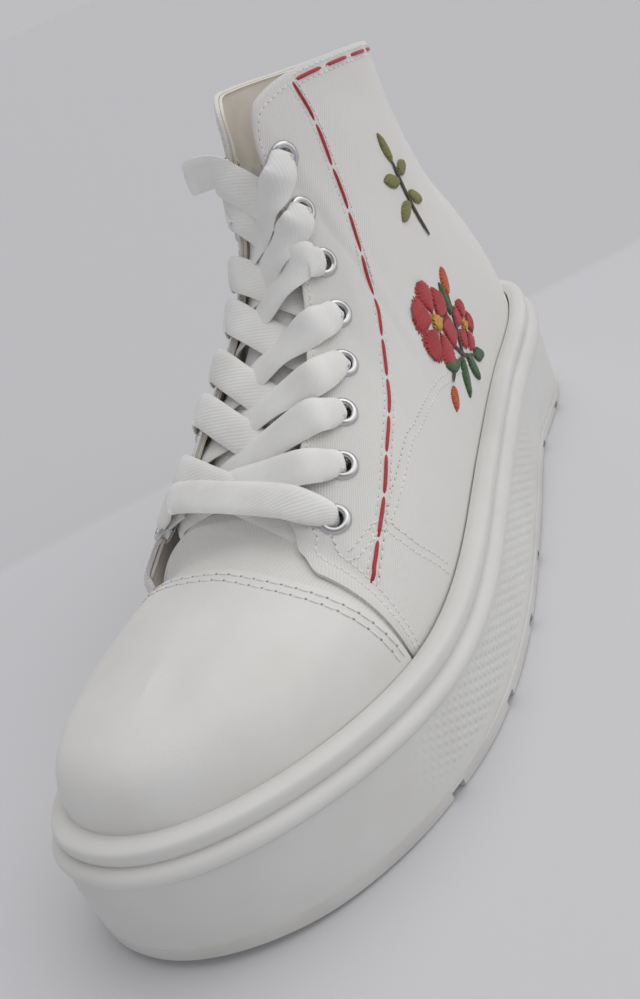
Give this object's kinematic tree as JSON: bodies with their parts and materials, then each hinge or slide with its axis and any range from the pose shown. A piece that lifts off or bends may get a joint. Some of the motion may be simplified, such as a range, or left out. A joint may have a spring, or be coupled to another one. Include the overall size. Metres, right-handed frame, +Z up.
{
  "type": "high-top platform sneaker",
  "caption": "White lace-up high-top canvas sneaker with a smooth toe cap, a thick platform sole with a lipped sidewall, metal eyelets and a flat lace.",
  "frame": {"origin": "middle of the shoe's bounding box, on the floor under the sole", "axes": "toe towards -Y, heel towards +Y, lateral side of this left shoe towards +X, +Z up"},
  "size_m": [0.1076, 0.2846, 0.1585],
  "materials": {
    "white_rubber": "satin",
    "tread_rubber": "matte",
    "white_canvas": "twill weave",
    "cream_foam": "matte",
    "white_leather": "smooth",
    "silver_metal": "polished",
    "lace_weave": "flat weave"
  },
  "bodies": {
    "root": {"outsole": "tread_rubber", "midsole": "white_rubber", "foxing": "white_rubber", "insole": "cream_foam", "upper": "white_canvas", "toe_cap": "white_leather", "tongue": "white_canvas", "eyelet_lateral_1": "silver_metal", "eyelet_lateral_2": "silver_metal", "eyelet_lateral_3": "silver_metal", "eyelet_lateral_4": "silver_metal", "eyelet_lateral_5": "silver_metal", "eyelet_lateral_6": "silver_metal", "eyelet_lateral_7": "silver_metal", "eyelet_lateral_8": "silver_metal", "eyelet_medial_1": "silver_metal", "eyelet_medial_2": "silver_metal", "eyelet_medial_3": "silver_metal", "eyelet_medial_4": "silver_metal", "eyelet_medial_5": "silver_metal", "eyelet_medial_6": "silver_metal", "eyelet_medial_7": "silver_metal", "eyelet_medial_8": "silver_metal", "lace_bar_1": "lace_weave", "lace_crossing_2": "lace_weave", "lace_crossing_3": "lace_weave", "lace_crossing_4": "lace_weave", "lace_crossing_5": "lace_weave", "lace_crossing_6": "lace_weave", "lace_crossing_7": "lace_weave", "lace_crossing_8": "lace_weave"}
  },
  "joints": []
}
